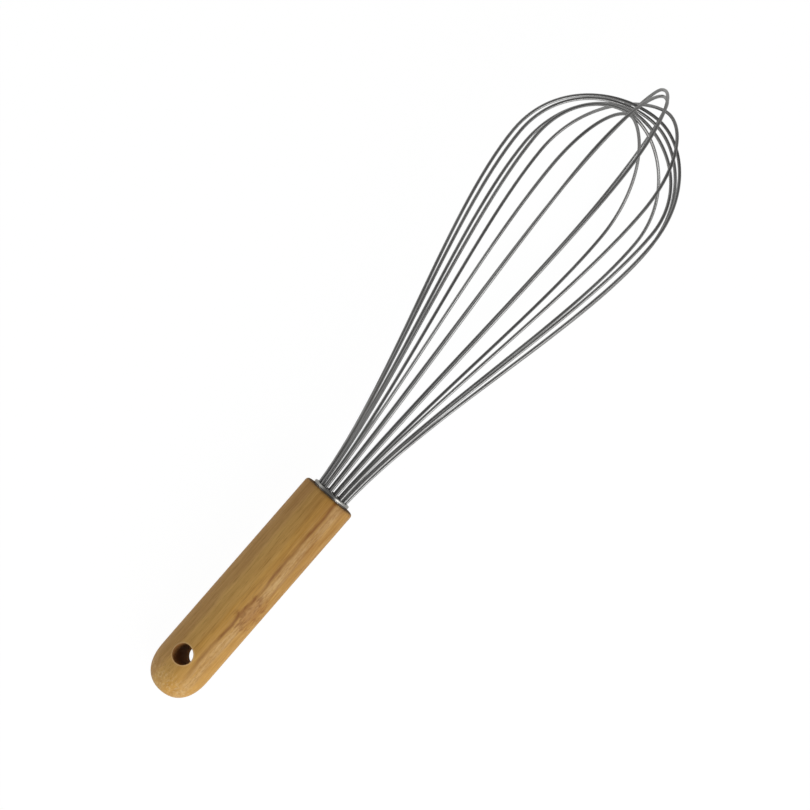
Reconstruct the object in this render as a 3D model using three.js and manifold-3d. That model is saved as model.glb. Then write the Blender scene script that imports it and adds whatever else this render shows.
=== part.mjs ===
// A balloon whisk: a turned bamboo handle, a flanged steel ferrule, a fluted core and eight loops of wire.
// Millimetres. The whisk lies on a table, resting on the butt of its handle and on its two lowest wires.
// +X runs from the handle to the head, +Z is up, and the origin is under the middle of the whisk.

import * as THREE from 'three';
import { mergeVertices } from 'three/addons/utils/BufferGeometryUtils.js';
import Module from 'manifold-3d';

const wasm = await Module();
wasm.setup();

// Clearance between pieces that touch on the real whisk.
const FIT_GAP = 0.3;

// Wire ring: sixteen straight tails, evenly spaced on one circle in the ferrule. The turn is in degrees.
const WIRE_DIAMETER = 1.3;
const RING_RADIUS = 6.45;
const RING_TURN = 3.5;

// Ferrule: a thin sleeve in the handle's socket, with a flange on the handle's front face.
// The tails stop a little short of the sleeve's back end.
const SLEEVE_WALL = 0.4;
const SLEEVE_LENGTH = 28;
const TAIL_SETBACK = 2.5;
const FLANGE_LIP = 0.2;
const FLANGE_THICKNESS = 1.2;
const FLANGE_ROUND = 0.6;

// Core: the fluted filling that holds the tails against the sleeve.
const CORE_RECESS = 0.6;

// Handle.
const HANDLE_LENGTH = 98.1;
const WOOD_WALL = 3.2;
const DOME_LENGTH = 14.4;
const DOME_POWER = 2.35;
const FRONT_EDGE_ROUND = 1.3;
const HANG_HOLE_DIAMETER = 8.2;
const HANG_HOLE_INSET = 17.5;
const HANG_HOLE_CLOCK = 75.5;

// Cage: how far its axis leans from the handle's, and how the wires swell from the ring to the belly.
const CAGE_LEAN = 1.19;
const LEG_RISE = 46.5;
const LEG_FLARE = 2.9;
const BELLY_EASE = 39;
const SHOULDER_FULLNESS = 0.62;
const CROWN_FULLNESS = 0.46;

// Belly: the usual distance of a leg from the cage's axis where the cage is widest, and how far that is from
// the mouth. Then the tip of the innermost loop, also measured from the mouth along the cage's axis.
const BELLY_RADIUS = 34;
const BELLY_REACH = 151.4;
const INNER_REACH = 181.6;

// The loops from the innermost to the outermost, which cross at the tip one over the other.
// slot: place on the ring. turn: degrees that the belly is turned from that place.
// upper, lower: distance of the two legs from the cage's axis at the belly, in belly radii.
// belly: distance of this loop's belly from the mouth, in usual ones.
// tipGap: clear space over the tip of the loop before, in wire diameters.
// tipShift: how far the tip sits towards the upper leg, in belly radii.
const LOOPS = [
  { slot: 2, turn: 2.4, upper: 0.962, lower: 1.054, belly: 0.957, tipShift: 0.201 },
  { slot: 1, turn: -1.8, upper: 0.979, lower: 1.025, belly: 0.993, tipGap: 0.15, tipShift: 0.029 },
  { slot: 6, turn: 0.1, upper: 1.007, lower: 1.025, belly: 1, tipGap: 0.55, tipShift: -0.164 },
  { slot: 0, turn: -3.6, upper: 0.997, lower: 0.996, belly: 0.989, tipGap: 0.28, tipShift: -0.115 },
  { slot: 7, turn: 1, upper: 0.966, lower: 1.066, belly: 0.993, tipGap: 0.37, tipShift: 0.111 },
  { slot: 5, turn: 2.3, upper: 0.983, lower: 1.093, belly: 1.022, tipGap: 1.54, tipShift: 0.178 },
  { slot: 3, turn: -4.5, upper: 0.993, lower: 1.002, belly: 1.005, tipGap: 4.02, tipShift: -0.347 },
  { slot: 4, turn: -2, upper: 0.984, lower: 1.014, belly: 1.003, tipGap: 0.37, tipShift: -0.301 },
];

// Fineness of the faceted solids.
const ROUND_SIDES = 48;
const HOLE_SIDES = 32;
const FLUTE_SIDES = 12;
const WIRE_SIDES = 8;
const DOME_STEPS = 10;
const ROUND_STEPS = 4;
const TAIL_STEPS = 1;
const LEG_STEPS = 11;
const CROWN_STEPS = 9;

// Sizes that follow from the driving dimensions. The handle's front face is at x = 0 on the whisk's axis.
const legCount = 2 * LOOPS.length;
const legSpacing = 360 / legCount;
const wireRadius = WIRE_DIAMETER / 2;
const sleeveBore = RING_RADIUS + wireRadius + FIT_GAP;
const sleeveRadius = sleeveBore + SLEEVE_WALL;
const flangeRadius = sleeveRadius + FIT_GAP + FLANGE_LIP;
const flangeRound = Math.min(FLANGE_ROUND, FLANGE_THICKNESS / 2, (flangeRadius - sleeveBore) / 2);
const socketRadius = sleeveRadius + FIT_GAP;
const socketDepth = SLEEVE_LENGTH + FIT_GAP;
const handleRadius = socketRadius + WOOD_WALL;
const frontEdgeRound = Math.min(FRONT_EDGE_ROUND, WOOD_WALL / 2);
const mouth = FIT_GAP + FLANGE_THICKNESS;
const tailLength = mouth + SLEEVE_LENGTH - TAIL_SETBACK;
const coreRadius = sleeveBore - FIT_GAP;
const coreFront = mouth - CORE_RECESS;
const fluteRadius = wireRadius + FIT_GAP;

const bamboo = new THREE.MeshStandardMaterial({ color: 0xb78447, roughness: 0.5, metalness: 0 });
const polishedSteel = new THREE.MeshStandardMaterial({ color: 0xc9c8c4, roughness: 0.25, metalness: 1 });
const wireSteel = new THREE.MeshStandardMaterial({ color: 0x8f8e8b, roughness: 0.35, metalness: 1 });
const resin = new THREE.MeshStandardMaterial({ color: 0x5c5b58, roughness: 0.6, metalness: 0 });

// A unit vector across the whisk's axis. Clock angles turn about +X from +Y towards +Z.
function clockDirection(degrees) {
  const angle = THREE.MathUtils.degToRad(degrees);
  return new THREE.Vector3(0, Math.cos(angle), Math.sin(angle));
}

// The clock angle of a place on the wire ring.
function slotClock(slot) {
  return (slot + 0.5) * legSpacing + RING_TURN;
}

// A solid of revolution about the X axis, from profile points (radius, x).
function turned(profile) {
  const geometry = new THREE.LatheGeometry(profile, ROUND_SIDES);
  geometry.rotateZ(-Math.PI / 2);
  return geometry;
}

// A quarter round from one direction to another, as profile points (radius, x) about a centre.
function quarterRound(centreRadius, centreX, round, fromAngle) {
  const points = [];
  for (let i = 0; i <= ROUND_STEPS; i += 1) {
    const angle = fromAngle + (i / ROUND_STEPS) * (Math.PI / 2);
    points.push(new THREE.Vector2(centreRadius + round * Math.cos(angle), centreX + round * Math.sin(angle)));
  }
  return points;
}

// A closed geometry as a manifold solid. Triangles that collapse on the axis are left out.
function solid(geometry) {
  const bare = geometry.clone();
  bare.deleteAttribute('normal');
  bare.deleteAttribute('uv');
  const merged = mergeVertices(bare);
  const index = merged.index.array;
  const triangles = [];
  for (let i = 0; i < index.length; i += 3) {
    const [a, b, c] = index.slice(i, i + 3);
    if (a !== b && b !== c && c !== a) {
      triangles.push(a, b, c);
    }
  }
  const mesh = new wasm.Mesh({
    numProp: 3,
    vertProperties: new Float32Array(merged.attributes.position.array),
    triVerts: new Uint32Array(triangles),
  });
  return new wasm.Manifold(mesh);
}

// A manifold solid as a three.js geometry.
function geometryOf(manifold) {
  const mesh = manifold.getMesh();
  const geometry = new THREE.BufferGeometry();
  geometry.setAttribute('position', new THREE.BufferAttribute(mesh.vertProperties, 3));
  geometry.setIndex(new THREE.BufferAttribute(mesh.triVerts, 1));
  geometry.computeVertexNormals();
  return geometry;
}

function namedMesh(name, geometry, material) {
  const mesh = new THREE.Mesh(geometry, material);
  mesh.name = name;
  return mesh;
}

// Handle: a domed rod with a blind socket in its front end and a hanging hole across it.
function makeHandle() {
  const profile = [];
  for (let i = 0; i <= DOME_STEPS; i += 1) {
    const angle = (i / DOME_STEPS) * (Math.PI / 2);
    const radius = handleRadius * Math.sin(angle) ** (2 / DOME_POWER);
    const rise = DOME_LENGTH * (1 - Math.cos(angle) ** (2 / DOME_POWER));
    profile.push(new THREE.Vector2(radius, rise - HANDLE_LENGTH));
  }
  profile.push(...quarterRound(handleRadius - frontEdgeRound, -frontEdgeRound, frontEdgeRound, 0));
  profile.push(new THREE.Vector2(socketRadius, 0));
  profile.push(new THREE.Vector2(socketRadius, -socketDepth));
  profile.push(new THREE.Vector2(0, -socketDepth));

  const drillLength = 3 * handleRadius;
  const drill = new THREE.CylinderGeometry(
    HANG_HOLE_DIAMETER / 2, HANG_HOLE_DIAMETER / 2, drillLength, HOLE_SIDES,
  );
  drill.rotateX(THREE.MathUtils.degToRad(HANG_HOLE_CLOCK));
  drill.translate(HANG_HOLE_INSET - HANDLE_LENGTH, 0, 0);

  const drilled = solid(turned(profile)).subtract(solid(drill));
  return namedMesh('handle', geometryOf(drilled), bamboo);
}

// Ferrule: sleeve and flange in one drawn piece. Its flange is rounded at the front.
function makeFerrule() {
  const profile = [
    new THREE.Vector2(sleeveBore, -SLEEVE_LENGTH),
    new THREE.Vector2(sleeveRadius, -SLEEVE_LENGTH),
    new THREE.Vector2(sleeveRadius, FIT_GAP),
    new THREE.Vector2(flangeRadius, FIT_GAP),
    ...quarterRound(flangeRadius - flangeRound, mouth - flangeRound, flangeRound, 0),
    new THREE.Vector2(sleeveBore, mouth),
    new THREE.Vector2(sleeveBore, -SLEEVE_LENGTH),
  ];
  return namedMesh('ferrule', turned(profile), polishedSteel);
}

// Core: a plug that fills the sleeve, with one flute along it for each tail.
function makeCore() {
  const length = coreFront + SLEEVE_LENGTH;
  const profile = [
    new THREE.Vector2(0, -SLEEVE_LENGTH),
    new THREE.Vector2(coreRadius, -SLEEVE_LENGTH),
    new THREE.Vector2(coreRadius, coreFront),
    new THREE.Vector2(0, coreFront),
  ];
  let plug = solid(turned(profile));
  for (let i = 0; i < legCount; i += 1) {
    const flute = new THREE.CylinderGeometry(fluteRadius, fluteRadius, 2 * length, FLUTE_SIDES);
    flute.rotateZ(-Math.PI / 2);
    const place = clockDirection(slotClock(i)).multiplyScalar(RING_RADIUS);
    flute.translate(0, place.y, place.z);
    plug = plug.subtract(solid(flute));
  }
  return namedMesh('core_plug', geometryOf(plug), resin);
}

// A path made of curves that each get their own number of steps, so that straight stretches stay coarse.
class SteppedPath extends THREE.Curve {
  constructor(pieces) {
    super();
    this.pieces = pieces;
    this.steps = pieces.reduce((sum, piece) => sum + piece.steps, 0);
  }

  getPoint(t, target = new THREE.Vector3()) {
    let step = t * this.steps;
    for (const piece of this.pieces) {
      if (step <= piece.steps) {
        return piece.curve.getPoint(step / piece.steps, target);
      }
      step -= piece.steps;
    }
    return this.pieces.at(-1).curve.getPoint(1, target);
  }

  getSpacedPoints(count) {
    return this.getPoints(count);
  }

  getTangentAt(t, target) {
    return this.getTangent(t, target);
  }
}

// The curves of one leg from its tail to the tip. Side is 1 for the upper leg and -1 for the lower one.
function legCurves(loop, reach, side) {
  const lean = THREE.MathUtils.degToRad(CAGE_LEAN);
  const cageAxis = new THREE.Vector3(Math.cos(lean), Math.sin(lean), 0);
  const mouthCentre = new THREE.Vector3(mouth, 0, 0);
  const ringClock = slotClock(loop.slot);
  const ringOut = clockDirection(ringClock).multiplyScalar(side);
  const bellyOut = clockDirection(ringClock + loop.turn);
  const legOffset = BELLY_RADIUS * (side > 0 ? loop.upper : -loop.lower);
  const tipOffset = BELLY_RADIUS * loop.tipShift;
  const bellyReach = BELLY_REACH * loop.belly;

  const leave = mouthCentre.clone().addScaledVector(ringOut, RING_RADIUS);
  const tailEnd = leave.clone().sub(new THREE.Vector3(tailLength, 0, 0));
  const leaveEase = leave.clone().addScaledVector(cageAxis, LEG_RISE).addScaledVector(ringOut, LEG_FLARE);
  const belly = mouthCentre.clone()
    .addScaledVector(cageAxis, bellyReach)
    .addScaledVector(bellyOut, legOffset);
  const bellyEase = belly.clone().addScaledVector(cageAxis, -BELLY_EASE);
  const shoulder = belly.clone().addScaledVector(cageAxis, SHOULDER_FULLNESS * (reach - bellyReach));
  const tip = mouthCentre.clone().addScaledVector(cageAxis, reach).addScaledVector(bellyOut, tipOffset);
  const crown = tip.clone().addScaledVector(bellyOut, CROWN_FULLNESS * (legOffset - tipOffset));

  return {
    tail: [tailEnd, leave],
    leg: [leave, leaveEase, bellyEase, belly],
    crown: [belly, shoulder, crown, tip],
  };
}

// One loop of wire: a tail, a leg and half the crown up to the tip, and the same down the other side.
function makeLoop(loop, reach) {
  const upper = legCurves(loop, reach, 1);
  const lower = legCurves(loop, reach, -1);
  const path = new SteppedPath([
    { curve: new THREE.LineCurve3(...upper.tail), steps: TAIL_STEPS },
    { curve: new THREE.CubicBezierCurve3(...upper.leg), steps: LEG_STEPS },
    { curve: new THREE.CubicBezierCurve3(...upper.crown), steps: CROWN_STEPS },
    { curve: new THREE.CubicBezierCurve3(...lower.crown.reverse()), steps: CROWN_STEPS },
    { curve: new THREE.CubicBezierCurve3(...lower.leg.reverse()), steps: LEG_STEPS },
    { curve: new THREE.LineCurve3(...lower.tail.reverse()), steps: TAIL_STEPS },
  ]);
  const section = new THREE.Shape();
  for (let i = 0; i < WIRE_SIDES; i += 1) {
    const angle = (i / WIRE_SIDES) * 2 * Math.PI;
    const corner = new THREE.Vector2(wireRadius * Math.cos(angle), wireRadius * Math.sin(angle));
    if (i === 0) {
      section.moveTo(corner.x, corner.y);
    } else {
      section.lineTo(corner.x, corner.y);
    }
  }
  const geometry = new THREE.ExtrudeGeometry(section, { steps: path.steps, extrudePath: path });
  return namedMesh(`wire_loop_${loop.slot + 1}`, geometry, wireSteel);
}

// The lowest height of some meshes when the whisk is tipped head up by an angle.
function lowest(meshes, angle) {
  let low = Infinity;
  for (const mesh of meshes) {
    const position = mesh.geometry.attributes.position;
    for (let i = 0; i < position.count; i += 1) {
      low = Math.min(low, position.getX(i) * Math.sin(angle) + position.getZ(i) * Math.cos(angle));
    }
  }
  return low;
}

// The angle at which the butt of the handle and the lowest wires touch the table together.
function restingAngle(handle, wires) {
  let flat = 0;
  let steep = Math.PI / 6;
  for (let i = 0; i < 40; i += 1) {
    const middle = (flat + steep) / 2;
    if (lowest(wires, middle) < lowest([handle], middle)) {
      flat = middle;
    } else {
      steep = middle;
    }
  }
  return (flat + steep) / 2;
}

const handle = makeHandle();
const wires = [];
let reach = INNER_REACH;
LOOPS.forEach((loop, level) => {
  if (level > 0) {
    reach += WIRE_DIAMETER * (1 + loop.tipGap);
  }
  wires.push(makeLoop(loop, reach));
});

// The whisk on its own axis, then laid on the table with the origin under its middle.
const whisk = new THREE.Group();
whisk.add(handle, makeFerrule(), makeCore(), ...wires);
whisk.rotation.y = -restingAngle(handle, wires);

const box = new THREE.Box3().setFromObject(whisk, true);
whisk.position.set(-(box.min.x + box.max.x) / 2, -(box.min.y + box.max.y) / 2, -box.min.z);

const part = new THREE.Group();
part.add(whisk);

export default part;
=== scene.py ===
# %% [markdown]
# # A balloon whisk with a bamboo handle
#
# The whisk lies on a white table, and the camera looks almost straight down on it. Its solids come packed
# from the CAD step, in metres, with the table at Z = 0 and the head towards +X. They are plain and faceted.
# This lesson models each piece again with the roundness of the real one, and gives each surface a finish
# made of shader nodes.

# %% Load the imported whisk
import math

import bpy
from mathutils import Matrix, Vector


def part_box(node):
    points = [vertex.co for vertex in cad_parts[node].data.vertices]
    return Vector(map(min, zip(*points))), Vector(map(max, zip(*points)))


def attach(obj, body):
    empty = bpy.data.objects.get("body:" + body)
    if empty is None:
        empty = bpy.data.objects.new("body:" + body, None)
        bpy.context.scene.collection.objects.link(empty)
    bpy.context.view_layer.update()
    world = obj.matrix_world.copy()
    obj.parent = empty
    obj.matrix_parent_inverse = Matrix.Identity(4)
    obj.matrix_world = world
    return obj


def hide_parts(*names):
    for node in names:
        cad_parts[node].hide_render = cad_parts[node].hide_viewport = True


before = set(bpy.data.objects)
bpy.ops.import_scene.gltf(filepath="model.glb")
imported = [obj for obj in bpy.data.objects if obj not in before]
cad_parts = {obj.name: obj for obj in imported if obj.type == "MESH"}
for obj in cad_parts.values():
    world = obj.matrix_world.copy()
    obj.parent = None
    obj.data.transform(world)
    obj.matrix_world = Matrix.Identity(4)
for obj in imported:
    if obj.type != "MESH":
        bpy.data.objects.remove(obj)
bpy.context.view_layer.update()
print("packed nodes:", ", ".join(sorted(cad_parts)))

# %% [markdown]
# ## The whisk's own axis
#
# Turned pieces and bent wires are easiest to model along one axis, with x = 0 at the front face of the
# handle, and to lay on the table when they are finished. On the table the axis rises a few degrees, because
# the cage of wires is fatter than the handle. The core is the same at both ends, so the middle of its box
# is a point of the axis. That point and the angle place the whole whisk.

# %% Find the whisk's axis
LYING_ANGLE = math.radians(5.615)
SLEEVE_LENGTH = 0.028
CORE_FRONT = 0.0009

core_low, core_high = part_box("core_plug")
core_middle = Vector(((CORE_FRONT - SLEEVE_LENGTH) / 2, 0, 0))
lie_down = Matrix.Rotation(-LYING_ANGLE, 4, "Y")
front_centre = (core_low + core_high) / 2 - lie_down @ core_middle
lie_down.translation = front_centre
print("front of the handle:", [round(value, 5) for value in front_centre])

# %% [markdown]
# ## Camera
#
# The camera stands three quarters of a metre away and square to the whisk's axis, which runs up to the
# right in the picture. From so near the view changes along the whisk: it looks a little into the mouth of
# the ferrule, a little back at the tip, and in the hanging hole it meets the wall on the side of the butt.
# The camera's three axes are worked out from the whisk's, which is surer than turning a camera by eye.

# %% Set up the camera
PICTURE_TURN = math.radians(48.96)
PICTURE_WIDTH = 0.3086
AIM_ALONG = 0.0448
AIM_LEFT = 0.0012
CAMERA_DISTANCE = 0.75

along, left, to_camera = lie_down.to_3x3().transposed()
camera_right = math.cos(PICTURE_TURN) * along - math.sin(PICTURE_TURN) * left
camera_up = math.sin(PICTURE_TURN) * along + math.cos(PICTURE_TURN) * left
camera_turn = Matrix((camera_right, camera_up, to_camera)).transposed()
aim = front_centre + AIM_ALONG * along + AIM_LEFT * left

bpy.ops.object.select_all(action="DESELECT")
bpy.ops.object.camera_add(location=aim + CAMERA_DISTANCE * to_camera, rotation=camera_turn.to_euler())
camera = bpy.context.object
camera.data.lens = camera.data.sensor_width * CAMERA_DISTANCE / PICTURE_WIDTH
bpy.context.scene.camera = camera
print(f"camera lens {camera.data.lens:.0f} mm, {CAMERA_DISTANCE} m from the whisk")

# %% [markdown]
# ## Node helpers
#
# Every finish below is a small graph of shader nodes. Four helpers keep those graphs short: one adds a node
# with its settings and links, one works out a sum, a product or the like of two values, one turns a colour
# from a paint card, RRGGBB, into the linear values that shaders take, and one starts an empty material.

# %% Define the node helpers
def add_node(tree, kind, inputs=None, **settings):
    """Adds a shader node. Inputs are values, or sockets of other nodes to link from."""
    made = tree.nodes.new("ShaderNode" + kind)
    for name, value in settings.items():
        setattr(made, name, value)
    for name, value in (inputs or {}).items():
        if isinstance(value, bpy.types.NodeSocket):
            tree.links.new(value, made.inputs[name])
        else:
            made.inputs[name].default_value = value
    return made


def maths(tree, operation, first, second=0.0, clamp=False):
    """The output of a Math node on two values or sockets."""
    made = add_node(tree, "Math", {0: first, 1: second}, operation=operation, use_clamp=clamp)
    return made.outputs[0]


def paint(code):
    """A colour written RRGGBB, as linear RGBA."""
    channels = [int(code[start:start + 2], 16) / 255 for start in (0, 2, 4)]
    return (*[c / 12.92 if c < 0.04045 else ((c + 0.055) / 1.055) ** 2.4 for c in channels], 1)


def new_material(name):
    """An empty node material and the socket that its shader goes into."""
    material = bpy.data.materials.new(name)
    material.use_nodes = True
    material.node_tree.nodes.clear()
    output = add_node(material.node_tree, "OutputMaterial")
    return material, material.node_tree, output.inputs["Surface"]


print("a mid bamboo in linear values:", [round(value, 3) for value in paint("B08A4A")])

# %% [markdown]
# ## Table and light
#
# The table is pure white in the picture, and the light comes from low on the right, towards the butt of the
# handle. Turning the lamps up until the table clips would bleach the bamboo too. Instead the table glows
# nearly white for the camera by itself, whatever falls on it, and the rest of its brightness is real, so it
# keeps a soft shadow. Steel mirrors a part of that glow, and so the crowns of the wires stay grey. Seen
# from below the table is clear, so that the underside of the whisk can be looked at.

# %% Lay the table
WHITE = (1, 1, 1, 1)
TABLE_SIZE = 16
TABLE_CARD = paint("F0F0EE")
TABLE_GLOW = 0.94
GLOW_STRENGTH = 1.035
GLOW_IN_STEEL = 0.4

bpy.ops.object.select_all(action="DESELECT")
bpy.ops.mesh.primitive_plane_add(size=TABLE_SIZE)
table = bpy.context.object
table.name = "white_table"

table_paint, tree, surface = new_material("table_white")
rays = add_node(tree, "LightPath").outputs
mirrored = maths(tree, "MULTIPLY", rays["Is Glossy Ray"], GLOW_IN_STEEL)
seen = maths(tree, "ADD", rays["Is Camera Ray"], mirrored)
seen = maths(tree, "ADD", seen, rays["Is Transmission Ray"], clamp=True)
card = add_node(tree, "BsdfDiffuse", {"Color": TABLE_CARD})
glow = add_node(tree, "Emission", {"Color": WHITE, "Strength": GLOW_STRENGTH})
share = maths(tree, "MULTIPLY", seen, TABLE_GLOW)
lit = add_node(tree, "MixShader", {0: share, 1: card.outputs[0], 2: glow.outputs[0]})
clear = add_node(tree, "BsdfTransparent")
below = add_node(tree, "NewGeometry").outputs["Backfacing"]
two_sided = add_node(tree, "MixShader", {0: below, 1: lit.outputs[0], 2: clear.outputs[0]})
tree.links.new(two_sided.outputs[0], surface)
table.data.materials.append(table_paint)
print("table:", TABLE_SIZE, "m across")

# %% [markdown]
# The world stands for the walls of the studio: white near the horizon, and darker overhead, where the
# camera is. Steel shows it. The wires are bright at their rims and grey along the middle because of that
# dark ceiling. The wall beyond the head is in shade too, so the crowns of the wires and the rim of the
# ferrule are darker than the legs. Directions in the world are unit vectors: Z tells how high a part of the
# wall is, and X how far towards the head.

# %% Build the studio walls
HORIZON_LIGHT = 1.4
CEILING_LIGHT = 0.25
CEILING_FROM = 0.7
FAR_WALL_SHADE = 0.35
SHADE_FROM = 0.1
FULL_SHADE_FROM = 0.8

world = bpy.data.worlds.new("studio")
bpy.context.scene.world = world
world.use_nodes = True
tree = world.node_tree
tree.nodes.clear()
direction = add_node(tree, "TexCoord").outputs["Generated"]
heading = add_node(tree, "SeparateXYZ", {0: direction}).outputs
wall = add_node(tree, "MapRange", {"Value": heading["Z"], "From Min": 0.0, "From Max": CEILING_FROM,
                                   "To Min": HORIZON_LIGHT, "To Max": CEILING_LIGHT})
shade = add_node(tree, "MapRange", {"Value": heading["X"], "From Min": SHADE_FROM,
                                    "From Max": FULL_SHADE_FROM, "To Min": 1.0, "To Max": FAR_WALL_SHADE})
level = maths(tree, "MULTIPLY", wall.outputs[0], shade.outputs[0])
room = add_node(tree, "Background", {"Color": WHITE, "Strength": level})
white = add_node(tree, "Background", {"Color": WHITE, "Strength": 1.0})
camera_ray = add_node(tree, "LightPath").outputs["Is Camera Ray"]
shown = add_node(tree, "MixShader", {0: camera_ray, 1: room.outputs[0], 2: white.outputs[0]})
add_node(tree, "OutputWorld", {"Surface": shown.outputs[0]})
print("studio walls:", HORIZON_LIGHT, "at the horizon,", CEILING_LIGHT, "overhead")

# %% [markdown]
# One softbox lights the right side of the handle and gives the steel its brightest lines. A sun would draw
# hard edges, so it is an area lamp, most of a metre wide and little more than a metre away. It is aimed by
# its direction from the whisk.

# %% Hang the softbox
SOFTBOX_FROM = Vector((-0.42, -0.78, 0.62)).normalized()
SOFTBOX_DISTANCE = 1.1
SOFTBOX_SIZE = 0.8
SOFTBOX_POWER = 6

bpy.ops.object.select_all(action="DESELECT")
bpy.ops.object.light_add(
    type="AREA",
    location=aim + SOFTBOX_DISTANCE * SOFTBOX_FROM,
    rotation=SOFTBOX_FROM.to_track_quat("Z", "Y").to_euler(),
)
softbox = bpy.context.object
softbox.name = "softbox"
softbox.data.size = SOFTBOX_SIZE
softbox.data.energy = SOFTBOX_POWER
softbox.visible_camera = False
print("softbox:", softbox.data.energy, "W,", SOFTBOX_SIZE, "m wide")

# %% [markdown]
# ## Turning on a lathe
#
# The handle, the ferrule and the core are all turned shapes. Each could be a cylinder with bevels, but a
# profile is closer to how such a piece is drawn. A small plane is merged to one vertex, the vertex is
# extruded from station to station along the profile, and the line is spun round the axis. Points of the
# profile that lie on the axis come out once for each step, so doubles are merged, and the normals are
# recalculated to point outwards.

# %% Define the lathe
FIRST_PLANE = 0.001
MERGE_DISTANCE = 1e-6


def turn_on_lathe(name, profile, sides):
    """A solid of revolution about X from stations (x, radius)."""
    bpy.ops.object.select_all(action="DESELECT")
    x, radius = profile[0]
    bpy.ops.mesh.primitive_plane_add(size=FIRST_PLANE, location=(x, 0, radius))
    bpy.ops.object.transform_apply(location=True)
    piece = bpy.context.object
    piece.name = name
    bpy.ops.object.mode_set(mode="EDIT")
    bpy.ops.mesh.merge(type="CENTER")
    for next_x, next_radius in profile[1:]:
        step = (next_x - x, 0, next_radius - radius)
        bpy.ops.mesh.extrude_region_move(TRANSFORM_OT_translate={"value": step})
        x, radius = next_x, next_radius
    bpy.ops.mesh.select_all(action="SELECT")
    bpy.ops.mesh.spin(steps=sides, angle=math.tau, center=(0, 0, 0), axis=(1, 0, 0))
    bpy.ops.mesh.select_all(action="SELECT")
    bpy.ops.mesh.remove_doubles(threshold=MERGE_DISTANCE)
    bpy.ops.mesh.normals_make_consistent(inside=False)
    bpy.ops.object.mode_set(mode="OBJECT")
    return piece


def rounded_corner(x, radius, round_over, start, steps):
    """Stations of a quarter round about the centre (x, radius), from an angle in quarter turns."""
    angles = [(start + step / steps) * math.pi / 2 for step in range(steps + 1)]
    return [(x + round_over * math.sin(a), radius + round_over * math.cos(a)) for a in angles]


def even_stations(first, last, radius, count):
    """Stations of a straight length of the profile, without its two ends."""
    return [(first + (last - first) * step / count, radius) for step in range(1, count)]


print("a quarter round has", len(rounded_corner(0, 1, 0.1, 0, 6)), "stations")

# %% [markdown]
# ## Handle
#
# The handle is a bamboo rod as thick as a thumb. Its butt is a full dome, a little squarer than a half
# ball, its front edge is broken with sandpaper, and a blind socket in the front takes the ferrule. The dome
# follows a curve with a power above 2, which is what makes it square-shouldered.

# %% Turn the handle
HANDLE_LENGTH = 0.0981
HANDLE_RADIUS = 0.0113
HANDLE_SIDES = 128
BODY_STEPS = 44
DOME_LENGTH = 0.0144
DOME_POWER = 2.35
DOME_STEPS = 24
FRONT_EDGE_ROUND = 0.0013
FRONT_EDGE_STEPS = 6
SOCKET_RADIUS = 0.0081
SOCKET_DEPTH = 0.0283

profile = []
for step in range(DOME_STEPS):
    swing = step / DOME_STEPS * math.pi / 2
    rise = DOME_LENGTH * (1 - math.cos(swing) ** (2 / DOME_POWER))
    profile.append((rise - HANDLE_LENGTH, HANDLE_RADIUS * math.sin(swing) ** (2 / DOME_POWER)))
body_start = DOME_LENGTH - HANDLE_LENGTH
edge_radius = HANDLE_RADIUS - FRONT_EDGE_ROUND
profile += [(body_start, HANDLE_RADIUS)]
profile += even_stations(body_start, -FRONT_EDGE_ROUND, HANDLE_RADIUS, BODY_STEPS)
profile += rounded_corner(-FRONT_EDGE_ROUND, edge_radius, FRONT_EDGE_ROUND, 0, FRONT_EDGE_STEPS)
profile += [(0, SOCKET_RADIUS), (-SOCKET_DEPTH, SOCKET_RADIUS), (-SOCKET_DEPTH, 0)]
handle = turn_on_lathe("bamboo_handle", profile, HANDLE_SIDES)
print("handle blank:", len(handle.data.polygons), "faces")

# %% [markdown]
# The hanging hole is drilled across the rod near the butt. Seen from the camera it runs a little askew, so
# that a sliver of the table shows through it. A cylinder is the drill, and a Boolean modifier takes it out
# of the rod. The cut leaves long faces beside sharp rims, so the round faces are then shaded smooth up to
# an angle.

# %% Drill the hanging hole
HOLE_RADIUS = 0.0041
HOLE_SIDES = 64
HOLE_INSET = 0.0175
HOLE_PLACE = HOLE_INSET - HANDLE_LENGTH
HOLE_TURN = math.radians(-14.5)
SMOOTH_UP_TO = math.radians(35)


def pick(piece):
    """Selects one piece alone and makes it active."""
    bpy.ops.object.select_all(action="DESELECT")
    bpy.context.view_layer.objects.active = piece
    piece.select_set(True)


def drill_out(piece, drill):
    """Takes a drill's shape out of a piece, removes the drill and smooths the piece."""
    pick(piece)
    bpy.ops.object.modifier_add(type="BOOLEAN")
    cut = piece.modifiers[-1]
    cut.object = drill
    cut.operation = "DIFFERENCE"
    bpy.ops.object.modifier_apply(modifier=cut.name)
    bpy.data.objects.remove(drill)
    bpy.ops.object.shade_smooth_by_angle(angle=SMOOTH_UP_TO)


bpy.ops.object.select_all(action="DESELECT")
bpy.ops.mesh.primitive_cylinder_add(
    vertices=HOLE_SIDES, radius=HOLE_RADIUS, depth=3 * HANDLE_RADIUS,
    location=(HOLE_PLACE, 0, 0), rotation=(HOLE_TURN, 0, 0),
)
drill_out(handle, bpy.context.object)
print("drilled handle:", len(handle.data.polygons), "faces")

# %% [markdown]
# ## Ferrule
#
# The ferrule is a drawn steel sleeve that lines the socket, with a thin flange on the handle's front face.
# Only the flange shows. Its front edges are rolled over and catch the softbox, and its back edge is broken.
# A tube and a bevelled ring would need joining. The lathe turns both from one profile, which closes on
# itself because the sleeve is open through its middle.

# %% Turn the ferrule
SLEEVE_BORE = 0.0074
SLEEVE_RADIUS = 0.0078
FLANGE_RADIUS = 0.0083
FLANGE_BACK = 0.0003
FLANGE_BREAK = 0.0002
FLANGE_ROUND = 0.00042
FLANGE_STEPS = 8
MOUTH = 0.0015

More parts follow.
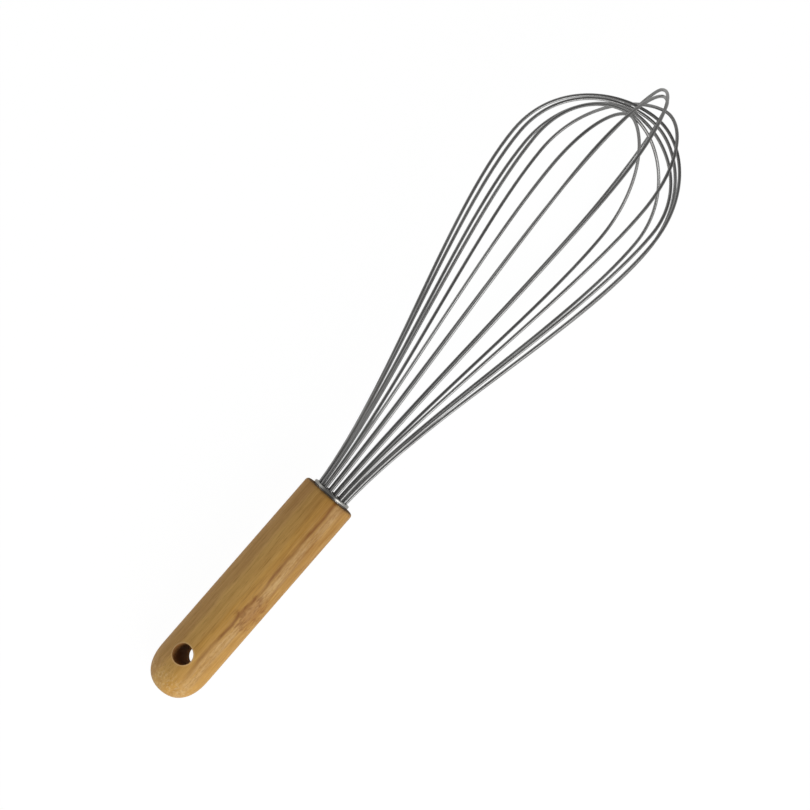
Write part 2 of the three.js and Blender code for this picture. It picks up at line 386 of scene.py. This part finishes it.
round_centre = MOUTH - FLANGE_ROUND
profile = [(-SLEEVE_LENGTH, SLEEVE_BORE), (-SLEEVE_LENGTH, SLEEVE_RADIUS), (FLANGE_BACK, SLEEVE_RADIUS)]
profile += [(FLANGE_BACK, FLANGE_RADIUS - FLANGE_BREAK), (FLANGE_BACK + FLANGE_BREAK, FLANGE_RADIUS)]
profile += rounded_corner(round_centre, FLANGE_RADIUS - FLANGE_ROUND, FLANGE_ROUND, 0, FLANGE_STEPS)
profile += rounded_corner(round_centre, SLEEVE_BORE + FLANGE_ROUND, FLANGE_ROUND, 1, FLANGE_STEPS)
profile += [(-SLEEVE_LENGTH, SLEEVE_BORE)]
ferrule = turn_on_lathe("steel_ferrule", profile, HANDLE_SIDES)
bpy.ops.object.shade_smooth_by_angle(angle=SMOOTH_UP_TO)
print("ferrule:", len(ferrule.data.polygons), "faces")

# %% [markdown]
# ## Core
#
# Inside the ring of wires the sleeve is filled with cast resin, which sets a little below the mouth and
# creeps up at the edge. A cylinder would do for the part that is hidden. The lathe is used because the
# creep is one more curve of the profile.

# %% Turn the core
SNUG_FIT = 0.00004
CORE_RADIUS = SLEEVE_BORE - SNUG_FIT
CORE_SIDES = 96
CREEP_HEIGHT = 0.00025
CREEP_WIDTH = 0.4 * CORE_RADIUS
CREEP_STEPS = 8

profile = [(-SLEEVE_LENGTH, 0), (-SLEEVE_LENGTH, CORE_RADIUS), (CORE_FRONT + CREEP_HEIGHT, CORE_RADIUS)]
for step in range(1, CREEP_STEPS + 1):
    inwards = step / CREEP_STEPS
    profile.append((CORE_FRONT + CREEP_HEIGHT * (1 - inwards) ** 3, CORE_RADIUS - CREEP_WIDTH * inwards))
profile += [(CORE_FRONT, 0)]
core = turn_on_lathe("resin_core", profile, CORE_SIDES)
print("core blank:", len(core.data.polygons), "faces")

# %% [markdown]
# Each wire stands in its own hole in the resin. A drill for each is set on the ring, the drills are joined,
# and one Boolean takes them all out of the turned plug.

# %% Drill the core for the wires
WIRE_DIAMETER = 0.0013
RING_RADIUS = 0.00645
RING_TURN = math.radians(3.5)
LEG_COUNT = 16
DRILL_RADIUS = WIRE_DIAMETER / 2 + SNUG_FIT
DRILL_SIDES = 20


def slot_clock(slot):
    """The angle of a place on the ring of wires, about +X from +Y towards +Z."""
    return (slot + 0.5) * math.tau / LEG_COUNT + RING_TURN


drills = []
bpy.ops.object.select_all(action="DESELECT")
for slot in range(LEG_COUNT):
    clock = slot_clock(slot)
    bpy.ops.mesh.primitive_cylinder_add(
        vertices=DRILL_SIDES, radius=DRILL_RADIUS, depth=3 * SLEEVE_LENGTH,
        location=(0, RING_RADIUS * math.cos(clock), RING_RADIUS * math.sin(clock)),
        rotation=(0, math.pi / 2, 0),
    )
    drills.append(bpy.context.object)
pick(drills[0])
for drill in drills[1:]:
    drill.select_set(True)
bpy.ops.object.join()
drill_out(core, bpy.context.object)
print("core:", len(core.data.polygons), "faces")

# %% [markdown]
# ## Wire loops
#
# Each loop is one length of wire: a straight tail in the sleeve, a leg that swells to the belly, the crown
# over the tip, and the same down the other side. The eight loops cross at the tip, one over the other, and
# each was bent by hand, so no two are alike. A Bezier curve with one point at each of those places follows
# such a wire, and its bevel makes the round section. The list has the loops from the innermost to the
# outermost: the place on the ring, the turn of the belly in degrees, the two half widths and the tip's
# shift in belly radii, the height of the belly in usual ones, and the clear space over the loop before in
# wire diameters.

# %% Describe the loops
LOOPS = [
    dict(slot=2, turn=2.4, upper=0.962, lower=1.054, tip_shift=0.201, belly=0.957, tip_gap=0),
    dict(slot=1, turn=-1.8, upper=0.979, lower=1.025, tip_shift=0.029, belly=0.993, tip_gap=0.15),
    dict(slot=6, turn=0.1, upper=1.007, lower=1.025, tip_shift=-0.164, belly=1, tip_gap=0.55),
    dict(slot=0, turn=-3.6, upper=0.997, lower=0.996, tip_shift=-0.115, belly=0.989, tip_gap=0.28),
    dict(slot=7, turn=1, upper=0.966, lower=1.066, tip_shift=0.111, belly=0.993, tip_gap=0.37),
    dict(slot=5, turn=2.3, upper=0.983, lower=1.093, tip_shift=0.178, belly=1.022, tip_gap=1.54),
    dict(slot=3, turn=-4.5, upper=0.993, lower=1.002, tip_shift=-0.347, belly=1.005, tip_gap=4.02),
    dict(slot=4, turn=-2, upper=0.984, lower=1.014, tip_shift=-0.301, belly=1.003, tip_gap=0.37),
]
print(len(LOOPS), "loops,", LEG_COUNT, "legs")

# %% [markdown]
# A Bezier point has a place and two handles, and the handles decide how the wire swings through it. The
# function below gives the points of one leg from its tail to the tip: the tail's end, the mouth of the
# ferrule, the belly and the tip.

# %% Define the route of a leg
CAGE_LEAN = math.radians(1.19)
TAIL_LENGTH = 0.027
LEG_RISE = 0.0465
LEG_FLARE = 0.0029
BELLY_EASE = 0.039
BELLY_RADIUS = 0.034
BELLY_REACH = 0.1514
INNER_REACH = 0.1816
SHOULDER_FULLNESS = 0.62
CROWN_FULLNESS = 0.46


def clock_direction(angle):
    """A unit vector across the axis, turned about +X from +Y towards +Z."""
    return Vector((0, math.cos(angle), math.sin(angle)))


def leg_points(loop, reach, side):
    """Bezier points (before, place, after) of the upper leg, side 1, or the lower one, side -1."""
    cage_axis = Vector((math.cos(CAGE_LEAN), math.sin(CAGE_LEAN), 0))
    mouth_centre = Vector((MOUTH, 0, 0))
    ring_clock = slot_clock(loop["slot"])
    ring_out = side * clock_direction(ring_clock)
    belly_out = clock_direction(ring_clock + math.radians(loop["turn"]))
    offset = BELLY_RADIUS * (loop["upper"] if side > 0 else -loop["lower"])
    tip_offset = BELLY_RADIUS * loop["tip_shift"]
    belly_reach = BELLY_REACH * loop["belly"]
    shoulder = SHOULDER_FULLNESS * (reach - belly_reach)
    crown = CROWN_FULLNESS * (offset - tip_offset)

    leave = mouth_centre + RING_RADIUS * ring_out
    third = Vector((TAIL_LENGTH / 3, 0, 0))
    belly = mouth_centre + belly_reach * cage_axis + offset * belly_out
    tip = mouth_centre + reach * cage_axis + tip_offset * belly_out
    return [
        (leave - 4 * third, leave - 3 * third, leave - 2 * third),
        (leave - third, leave, leave + LEG_RISE * cage_axis + LEG_FLARE * ring_out),
        (belly - BELLY_EASE * cage_axis, belly, belly + shoulder * cage_axis),
        (tip + crown * belly_out, tip, None),
    ]


first_leg = leg_points(LOOPS[0], INNER_REACH, 1)
tip_along = round(first_leg[-1][1].x * 1000, 1)
print("one leg has", len(first_leg), "points, and its tip is", tip_along, "mm along the axis")

# %% [markdown]
# A loop takes the second leg's points in the other order, with their handles swapped, and the two legs
# share the point at the tip. A tube could be swept along the points by hand, but a curve's own bevel gives
# the same tube with even rings and a UV map that follows the wire, so the curve is drawn first and made a
# mesh afterwards.

# %% Bend the wires
STEPS_PER_SPAN = 30
SECTION_STEPS = 5
WIRE_SMOOTH_UP_TO = math.radians(50)


def bend_wire(name, loop, reach):
    """One loop of wire as a mesh with a round section."""
    upper, lower = leg_points(loop, reach, 1), leg_points(loop, reach, -1)
    (crown_before, tip, _), (crown_after, _, _) = upper[-1], lower[-1]
    route = upper[:-1] + [(crown_before, tip, crown_after)]
    route += [(after, place, before) for before, place, after in reversed(lower[:-1])]

    bpy.ops.object.select_all(action="DESELECT")
    bpy.ops.curve.primitive_bezier_curve_add(location=(0, 0, 0))
    wire = bpy.context.object
    wire.name = name
    points = wire.data.splines[0].bezier_points
    points.add(len(route) - len(points))
    for point, (before, place, after) in zip(points, route):
        point.handle_left_type = point.handle_right_type = "FREE"
        point.handle_left, point.co, point.handle_right = before, place, after
    wire.data.resolution_u = STEPS_PER_SPAN
    wire.data.bevel_depth = WIRE_DIAMETER / 2
    wire.data.bevel_resolution = SECTION_STEPS
    wire.data.use_fill_caps = True
    bpy.ops.object.convert(target="MESH")
    bpy.ops.object.shade_smooth_by_angle(angle=WIRE_SMOOTH_UP_TO)
    return bpy.context.object


wires = {}
reach = INNER_REACH
for level, loop in enumerate(LOOPS):
    if level > 0:
        reach += WIRE_DIAMETER * (1 + loop["tip_gap"])
    number = loop["slot"] + 1
    wires[f"wire_loop_{number}"] = bend_wire(f"steel_wire_{number}", loop, reach)
print("wires:", ", ".join(f"{piece.name} {len(piece.data.polygons)} faces" for piece in wires.values()))

# %% [markdown]
# ## Shared effects
#
# Bamboo fibres, the drawn lines on wire and the turned lines on the flange are the same thing at different
# sizes: noise that is stretched along one direction. It is a node group, with the length and width of a
# streak as inputs, so it is built once and placed wherever streaks are needed.

# %% Build the streak group
def new_group(name, values, output):
    """An empty shader group with a Position, some values and one output, and the sockets at its ends."""
    group = bpy.data.node_groups.new(name, "ShaderNodeTree")
    group.interface.new_socket("Position", in_out="INPUT", socket_type="NodeSocketVector")
    for label, value in values.items():
        socket = group.interface.new_socket(label, in_out="INPUT", socket_type="NodeSocketFloat")
        socket.default_value = value
    group.interface.new_socket(output, in_out="OUTPUT", socket_type="NodeSocketFloat")
    return group, group.nodes.new("NodeGroupInput").outputs, group.nodes.new("NodeGroupOutput").inputs


streaks, given, taken = new_group("long_streaks", {"Length": 10.0, "Width": 1.0, "Seed": 0.0}, "Streak")
along_scale = maths(streaks, "DIVIDE", 1.0, given["Length"])
across_scale = maths(streaks, "DIVIDE", 1.0, given["Width"])
stretch = add_node(streaks, "CombineXYZ", {0: along_scale, 1: across_scale, 2: across_scale}).outputs[0]
stretched = add_node(streaks, "VectorMath", {0: given["Position"], 1: stretch}, operation="MULTIPLY")
seeded = add_node(streaks, "VectorMath", {0: stretched.outputs[0], 1: given["Seed"]}, operation="ADD")
noise = add_node(streaks, "TexNoise", {"Vector": seeded.outputs[0], "Scale": 1.0, "Detail": 3.0,
                                       "Roughness": 0.55})
spread = add_node(streaks, "MapRange", {"Value": noise.outputs[0], "From Min": 0.3, "From Max": 0.7})
streaks.links.new(spread.outputs[0], taken["Streak"])


def streak(tree, position, length, width, seed=0.0):
    """One placing of the streak group."""
    values = {"Position": position, "Length": length, "Width": width, "Seed": seed}
    return add_node(tree, "Group", values, node_tree=streaks).outputs["Streak"]


print("group long_streaks:", len(streaks.nodes), "nodes")

# %% [markdown]
# A second group gives the dull patches that hands leave on any smooth surface. It puts out a roughness
# between two values, so that even a plain surface mirrors the studio a little unevenly.

# %% Build the smudge group
smudges, given, taken = new_group("hand_smudges", {"Size": 10.0, "Low": 0.3, "High": 0.5}, "Roughness")
patch_scale = maths(smudges, "DIVIDE", 1.0, given["Size"])
noise = add_node(smudges, "TexNoise", {"Vector": given["Position"], "Scale": patch_scale, "Detail": 5.0})
spread = add_node(smudges, "MapRange", {"Value": noise.outputs[0], "From Min": 0.35, "From Max": 0.65,
                                        "To Min": given["Low"], "To Max": given["High"]})
smudges.links.new(spread.outputs[0], taken["Roughness"])


def smudge(tree, position, size, low, high):
    """One placing of the smudge group."""
    values = {"Position": position, "Size": size, "Low": low, "High": high}
    return add_node(tree, "Group", values, node_tree=smudges).outputs["Roughness"]


print("group hand_smudges:", len(smudges.nodes), "nodes")

# %% [markdown]
# Patterns on the turned pieces run along the whisk's axis, but the pieces lie at an angle on the table. A
# Mapping node undoes that: as a texture mapping with the whisk's own place and turn it gives coordinates
# along the axis, and a scale of a thousandth makes them millimetres, which are easier to read in the nodes.

# %% Define coordinates along the axis
def axis_millimetres(tree):
    """Object coordinates on the whisk's own axis, in millimetres."""
    position = add_node(tree, "TexCoord").outputs["Object"]
    mapping = add_node(tree, "Mapping", {"Vector": position, "Location": front_centre,
                                         "Rotation": (0, -LYING_ANGLE, 0), "Scale": (0.001, 0.001, 0.001)},
                       vector_type="TEXTURE")
    return mapping.outputs[0]


print("axis coordinates start at", [round(value, 4) for value in front_centre])

# %% [markdown]
# A finish is built up as a painter would, one thin colour over another. A mask says where a colour goes. It
# is a value eased from 0 to 1, and the strength of a stain thins it.

# %% Define masks and stains
def ramp(tree, value, start, end):
    """A value brought to 0 at the start and 1 at the end, and eased at both."""
    made = add_node(tree, "MapRange", {"Value": value, "From Min": start, "From Max": end},
                    interpolation_type="SMOOTHSTEP")
    return made.outputs[0]


def tint(tree, mask, under, over):
    """One colour laid over another through a mask."""
    return add_node(tree, "Mix", {0: mask, 6: under, 7: over}, data_type="RGBA").outputs[2]


def stain(tree, under, mask, strength, code):
    """A colour with a paint, RRGGBB, laid over it through a mask at some strength."""
    return tint(tree, maths(tree, "MULTIPLY", mask, strength), under, paint(code))


print("helpers for masks and stains: ramp, tint and stain")

# %% [markdown]
# ## Bamboo
#
# The rod is turned from strips of bamboo glued side by side. From left to right in the picture they are a
# dull one, a broad olive one that turns golden towards its edge, a narrow pale one and an orange one. The
# strips are told apart by the coordinate across the axis, and a slow noise lets their borders wander as the
# stalk grew. Object coordinates run straight through the solid, as grain does. All sizes are in
# millimetres.

# %% Lay the strips
STRIP_LEFT = 6.6
STRIP_GOLD = 0.4
SEAM = -3.8
STRIP_RIGHT = -7.5
WANDER = 3.2
OLIVE = paint("D8AA60")

bamboo, tree, surface = new_material("bamboo")
position = axis_millimetres(tree)
place = add_node(tree, "SeparateXYZ", {0: position}).outputs
slow = add_node(tree, "TexNoise", {"Vector": position, "Scale": 0.06, "Detail": 4.0}).outputs[0]
wander = maths(tree, "MULTIPLY", maths(tree, "SUBTRACT", slow, 0.5), WANDER)
across = maths(tree, "ADD", place["Y"], wander)

colour = OLIVE
for start, end, code in (
    (STRIP_LEFT - 1.5, STRIP_LEFT + 0.5, "C49458"),
    (STRIP_GOLD + 1.2, STRIP_GOLD - 1.2, "CE983E"),
    (SEAM + 0.2, SEAM - 0.2, "B38034"),
    (STRIP_RIGHT + 0.5, STRIP_RIGHT - 0.5, "BA8638"),
):
    colour = tint(tree, ramp(tree, across, start, end), colour, paint(code))
print("strips meet at", STRIP_LEFT, STRIP_GOLD, SEAM, "and", STRIP_RIGHT, "mm from the axis")

# %% [markdown]
# The grain is streaks at three sizes: broad shades, fine lines, and the short dark dashes of single fibres.
# An image of bamboo would show where it meets itself round the rod. Noise has no such place, and each size
# of streak can be made stronger or fainter by itself.

# %% Draw the grain
BROAD_WIDTH = 2.0
FINE_WIDTH = 0.5
FIBRE_WIDTH = 0.28

broad = streak(tree, position, length=140, width=BROAD_WIDTH)
fine = streak(tree, position, length=45, width=FINE_WIDTH, seed=3.7)
fibre = ramp(tree, streak(tree, position, length=6, width=FIBRE_WIDTH, seed=8.2), 0.55, 0.95)
colour = stain(tree, colour, broad, 0.5, "A57634")
colour = stain(tree, colour, fine, 0.4, "D6AE68")
colour = stain(tree, colour, fibre, 0.5, "8A5E25")
print("grain: streaks", BROAD_WIDTH, FINE_WIDTH, "and", FIBRE_WIDTH, "mm wide")

# %% [markdown]
# Short pale and brown clouds lie over the grain. They are strongest in the two strips on the right, which
# were cut near a joint of the stalk, where the fibres swirl. Those strips also get painted light, which
# makes them paler towards the butt, and the whole rod is browner towards its front end.

# %% Cloud the grain
PALE_CLOUD = 11
BROWN_CLOUD = 15
CLOUDS_EVERYWHERE = 0.2
CLOUDS_ON_RIGHT = 0.34
RIGHT_FROM = 2.0
RIGHT_TO = -5.0
BUTT_LIGHT_FROM = -30.0
BUTT_LIGHT_TO = -95.0
FRONT_BROWN_FROM = -24.0
FRONT_BROWN_TO = -1.0

on_right = ramp(tree, across, RIGHT_FROM, RIGHT_TO)
cloudy = maths(tree, "ADD", maths(tree, "MULTIPLY", on_right, CLOUDS_ON_RIGHT), CLOUDS_EVERYWHERE)
pale = streak(tree, position, length=PALE_CLOUD, width=1.5, seed=2.9)
brown = streak(tree, position, length=BROWN_CLOUD, width=1.1, seed=7.4)
colour = stain(tree, colour, pale, cloudy, "E2B66C")
colour = stain(tree, colour, brown, cloudy, "8E5717")
# painted light: the right strips are made paler towards the butt, as if more light fell there
painted_light_to_butt = maths(tree, "MULTIPLY", on_right, ramp(tree, place["X"], BUTT_LIGHT_FROM, BUTT_LIGHT_TO))
colour = stain(tree, colour, painted_light_to_butt, 0.4, "E6B25E")
# the rod is made browner over its front end, in broad streaks
browner_at_front = maths(tree, "MULTIPLY", ramp(tree, place["X"], FRONT_BROWN_FROM, FRONT_BROWN_TO), broad)
colour = stain(tree, colour, browner_at_front, 0.45, "94601F")
print("clouds:", PALE_CLOUD, "and", BROWN_CLOUD, "mm long")

# %% [markdown]
# A brown line follows the seam, now strong and now faint, and dies out towards the butt. A fainter one
# follows the border of the last strip. A line is the distance from the border, eased from its edge to its
# core, and streaks along it are its ink.

# %% Mark the seams
SEAMS_FADE_FROM = -92.0
SEAMS_FULL_FROM = -66.0
SEAM_CORE = 0.1
LEAST_INK = 0.2


def off_centre(tree, value, centre):
    """How far a value is from a centre, on either side of it."""
    return maths(tree, "ABSOLUTE", maths(tree, "SUBTRACT", value, centre))


fading = ramp(tree, place["X"], SEAMS_FADE_FROM, SEAMS_FULL_FROM)
for border, width, strength in ((SEAM, 1.1, 0.8), (STRIP_RIGHT, 0.6, 0.5)):
    ink = streak(tree, position, length=12, width=3, seed=1.3 - border)
    ink = maths(tree, "MULTIPLY", ink, fading)
    ink = maths(tree, "ADD", ink, LEAST_INK, clamp=True)
    line = maths(tree, "MULTIPLY", ramp(tree, off_centre(tree, across, border), width, SEAM_CORE), ink)
    colour = stain(tree, colour, line, strength, "854E12")
print("seams:", -SEAM, "and", -STRIP_RIGHT, "mm right of the axis")

# %% [markdown]
# The pale strip is lightest along its middle, in soft blotches with brown specks in them. Both are short
# streaks, and a band along the middle of the strip keeps them in it.

# %% Blotch the pale strip
STRIPE = -6.3
STRIPE_HALF = 2.6
STRIPE_CORE = 0.4

band = ramp(tree, off_centre(tree, across, STRIPE), STRIPE_HALF, STRIPE_CORE)
blotch = streak(tree, position, length=10, width=1.3, seed=5.1)
speck = ramp(tree, streak(tree, position, length=1.7, width=0.55, seed=12.6), 0.35, 0.95)
colour = stain(tree, colour, maths(tree, "MULTIPLY", band, blotch), 0.5, "E2C08A")
colour = stain(tree, colour, maths(tree, "MULTIPLY", band, speck), 0.4, "96622A")
print("the stripe is", -STRIPE, "mm right of the axis")

# %% [markdown]
# Where the stalk had its joint, a pinkish oval with a broken brown border lies in the pale strip. An oval
# is the distance from its middle, with the two directions divided by its half length and half width. Noise
# added to that distance makes it ragged, and short flecks break up the border.

# %% Stain the joint
JOINT_MIDDLE = (-52.8, -6.6)
JOINT_HALF = (7.0, 3.4)
JOINT_RAGGED = 2.4
INSIDE_FROM = 1.25
INSIDE_TO = 0.4
BORDER_AT = 0.8
BORDER_HALF = 0.75

from_middle = [maths(tree, "DIVIDE", maths(tree, "SUBTRACT", value, middle), half)
               for value, middle, half in zip((place["X"], across), JOINT_MIDDLE, JOINT_HALF)]
oval = add_node(tree, "CombineXYZ", {0: from_middle[0], 1: from_middle[1], 2: 0.0}).outputs[0]
distance = add_node(tree, "VectorMath", {0: oval}, operation="LENGTH").outputs["Value"]
noise = add_node(tree, "TexNoise", {"Vector": position, "Scale": 0.35, "Detail": 5.0}).outputs[0]
ragged = maths(tree, "MULTIPLY", maths(tree, "SUBTRACT", noise, 0.5), JOINT_RAGGED)
distance = maths(tree, "ADD", distance, ragged)
flecks = ramp(tree, streak(tree, position, length=3.2, width=1.0, seed=6.4), 0.3, 0.75)
border = ramp(tree, off_centre(tree, distance, BORDER_AT), BORDER_HALF, 0.0)
colour = stain(tree, colour, ramp(tree, distance, INSIDE_FROM, INSIDE_TO), 0.42, "AB7640")
colour = stain(tree, colour, maths(tree, "MULTIPLY", border, flecks), 0.6, "86501A")
print("the joint is", -JOINT_MIDDLE[0], "mm behind the front face")

# %% [markdown]
# End grain drinks more oil than the sides, so the front face and the wall of the hole are dark, and they
# are dull. The front is told by its place on the axis, and the hole by the distance from its own axis,
# which a second Mapping node gives. Round the hole the edge is sanded and pale, and where the dome cuts
# across the fibres their ends show as pale flecks.

# %% Darken the end grain
FACE_FROM = -0.5
FACE_TO = -0.05
FLECKS_FROM = -86.0
FLECKS_TO = -93.0
HOLE_MILLIMETRES = HOLE_RADIUS * 1000
WALL_FROM = HOLE_MILLIMETRES + 0.12
WALL_TO = HOLE_MILLIMETRES + 0.02
RIM_FROM = HOLE_MILLIMETRES + 0.75
RIM_TO = HOLE_MILLIMETRES + 0.2

at_front = ramp(tree, place["X"], FACE_FROM, FACE_TO)
hole_axis = add_node(tree, "Mapping", {"Vector": position, "Location": (HOLE_PLACE * 1000, 0, 0),
                                       "Rotation": (HOLE_TURN, 0, 0)}, vector_type="TEXTURE")
across_hole = add_node(tree, "VectorMath", {0: hole_axis.outputs[0], 1: (1, 1, 0)}, operation="MULTIPLY")
from_hole = add_node(tree, "VectorMath", {0: across_hole.outputs[0]}, operation="LENGTH").outputs["Value"]
in_hole = ramp(tree, from_hole, WALL_FROM, WALL_TO)
rim = ramp(tree, from_hole, RIM_FROM, RIM_TO)
cut_ends = ramp(tree, streak(tree, position, length=1.6, width=0.9, seed=9.3), 0.5, 0.9)
on_dome = ramp(tree, place["X"], FLECKS_FROM, FLECKS_TO)
colour = stain(tree, colour, maths(tree, "MULTIPLY", on_dome, cut_ends), 0.4, "E6C892")
colour = stain(tree, colour, rim, 0.5, "E2C08C")
colour = stain(tree, colour, at_front, 0.7, "5C3A18")
colour = stain(tree, colour, in_hole, 0.85, "9A6630")
print("end grain: the front face and a hole", round(2 * HOLE_MILLIMETRES, 1), "mm wide")

# %% [markdown]
# The rest has a thin satin varnish, dull where hands have held it. Fibres stand a little below the surface
# and fine lines above it, which the Bump node turns into relief. End grain has no varnish left.

# %% Varnish the bamboo
VARNISH = 0.04
END_GRAIN_ROUGHNESS = 0.85

end_grain = maths(tree, "MAXIMUM", at_front, in_hole)
relief = maths(tree, "SUBTRACT", maths(tree, "MULTIPLY", fine, 0.4), fibre)
bump = add_node(tree, "Bump", {"Height": relief, "Strength": 0.25, "Distance": 0.00003})
satin = smudge(tree, position, size=9, low=0.48, high=0.6)
shader = add_node(tree, "BsdfPrincipled", {
    "Base Color": colour,
    "Roughness": maths(tree, "MAXIMUM", satin, maths(tree, "MULTIPLY", end_grain, END_GRAIN_ROUGHNESS)),
    "Normal": bump.outputs[0],
    "Specular IOR Level": 0.22,
    "Coat Weight": maths(tree, "MULTIPLY", maths(tree, "SUBTRACT", 1.0, end_grain), VARNISH),
    "Coat Roughness": 0.3,
})
tree.links.new(shader.outputs[0], surface)
print("bamboo:", len(tree.nodes), "nodes")

# %% [markdown]
# ## Steel
#
# The flange is bright drawn steel with fine lines round it, left by the lathe. Their coordinate is the
# distance from the axis, so the noise is stretched along circles.

# %% Make the ferrule's steel
ferrule_steel, tree, surface = new_material("ferrule_steel")
position = axis_millimetres(tree)
across = add_node(tree, "VectorMath", {0: position, 1: (0, 1, 1)}, operation="MULTIPLY")
radius = add_node(tree, "VectorMath", {0: across.outputs[0]}, operation="LENGTH").outputs["Value"]
x = add_node(tree, "SeparateXYZ", {0: position}).outputs["X"]
rings = add_node(tree, "CombineXYZ", {0: 0.0, 1: radius, 2: x}).outputs[0]
lines = streak(tree, rings, length=10, width=0.05, seed=2.0)
bump = add_node(tree, "Bump", {"Height": lines, "Strength": 0.2, "Distance": 0.00001})
shader = add_node(tree, "BsdfPrincipled", {
    "Base Color": stain(tree, paint("A6A5A1"), lines, 0.3, "83827E"),
    "Metallic": 1.0,
    "Roughness": smudge(tree, position, size=4, low=0.2, high=0.34),
    "Normal": bump.outputs[0],
})
tree.links.new(shader.outputs[0], surface)
print("ferrule steel:", len(tree.nodes), "nodes")

# %% [markdown]
# The wire is duller and greyer, and its drawn lines run along it. Its curve gave each wire a UV map that
# follows it, so the lines turn with the bends. A slow noise makes some stretches a little lighter than
# others.

# %% Make the wire's steel
wire_steel, tree, surface = new_material("wire_steel")
position = axis_millimetres(tree)
wrap = add_node(tree, "UVMap", uv_map="UVMap").outputs[0]
lines = streak(tree, wrap, length=0.08, width=0.03, seed=4.0)
bump = add_node(tree, "Bump", {"Height": lines, "Strength": 0.15, "Distance": 0.00001})
cloud = add_node(tree, "TexNoise", {"Vector": position, "Scale": 0.05, "Detail": 3.0}).outputs[0]
shader = add_node(tree, "BsdfPrincipled", {
    "Base Color": tint(tree, ramp(tree, cloud, 0.35, 0.65), paint("868584"), paint("949493")),
    "Metallic": 1.0,
    "Roughness": smudge(tree, position, size=14, low=0.28, high=0.4),
    "Normal": bump.outputs[0],
})
tree.links.new(shader.outputs[0], surface)
print("wire steel:", len(tree.nodes), "nodes")

# %% [markdown]
# ## Resin
#
# The filling is a dark grey casting resin, slightly cloudy and uneven on top, where it set in the open. One
# noise does both: it is the mask between two greys, and the height of a bump.

# %% Make the resin
resin, tree, surface = new_material("resin")
position = axis_millimetres(tree)
cloud = add_node(tree, "TexNoise", {"Vector": position, "Scale": 0.6, "Detail": 6.0}).outputs[0]
bump = add_node(tree, "Bump", {"Height": cloud, "Strength": 0.3, "Distance": 0.0002})
shader = add_node(tree, "BsdfPrincipled", {
    "Base Color": tint(tree, ramp(tree, cloud, 0.3, 0.7), paint("4A4946"), paint("65635E")),
    "Roughness": smudge(tree, position, size=3, low=0.4, high=0.6),
    "Normal": bump.outputs[0],
})
tree.links.new(shader.outputs[0], surface)
print("resin:", len(tree.nodes), "nodes")

# %% [markdown]
# ## Assembly
#
# Each finished piece is laid down with the whisk's own matrix, which is then applied, so that its place is
# in its mesh. It takes its material, rides on the one body of the part, and stands for its CAD node. A last
# print compares its box with the node's: a piece that was modelled in the wrong place would show at once.

# %% Lay the pieces on the table
def lay_down(piece, node, material):
    """Puts a piece in the place of its CAD node."""
    pick(piece)
    piece.matrix_world = lie_down
    bpy.ops.object.transform_apply(location=True, rotation=True, scale=True)
    piece.data.materials.clear()
    piece.data.materials.append(material)
    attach(piece, "root")
    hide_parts(node)
    corners = [vertex.co for vertex in piece.data.vertices]
    low = Vector([min(corner[axis] for corner in corners) for axis in range(3)])
    high = Vector([max(corner[axis] for corner in corners) for axis in range(3)])
    off = max(max(map(abs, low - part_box(node)[0])), max(map(abs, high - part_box(node)[1])))
    print(f"{piece.name}: box within {off * 1000:.2f} mm of {node}")


lay_down(handle, "handle", bamboo)
lay_down(ferrule, "ferrule", ferrule_steel)
lay_down(core, "core_plug", resin)
for node, wire in sorted(wires.items()):
    lay_down(wire, node, wire_steel)

# %% [markdown]
# The colours above are meant as they are written, so the view transform is Standard.

# %% Set the view transform
bpy.context.scene.view_settings.view_transform = "Standard"
